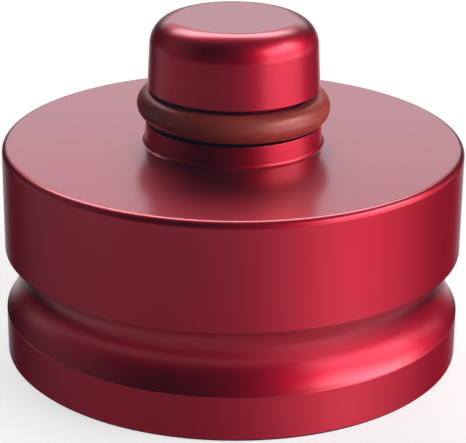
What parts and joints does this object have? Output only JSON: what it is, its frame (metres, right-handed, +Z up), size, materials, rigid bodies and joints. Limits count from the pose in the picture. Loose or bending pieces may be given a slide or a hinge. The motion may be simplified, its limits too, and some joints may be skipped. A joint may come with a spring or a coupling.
{
  "type": "vehicle jack pad adapter",
  "caption": "Round turned aluminium jack pad with a grip groove and a tapered locating stud that carries a rubber retention ring.",
  "frame": {"origin": "centre of the flat underside, on the turning axis", "axes": "+Z up along the turning axis, from the underside through the locating stud; the part is a body of revolution, so +X and +Y are free choices square to it"},
  "size_m": [0.076, 0.076, 0.0567],
  "materials": {
    "anodised_red": "fine-turned and satin red anodised",
    "brown_rubber": "smooth moulded, slight sheen"
  },
  "bodies": {
    "root": {"pad_body": "anodised_red", "retention_o_ring": "brown_rubber"}
  },
  "joints": []
}
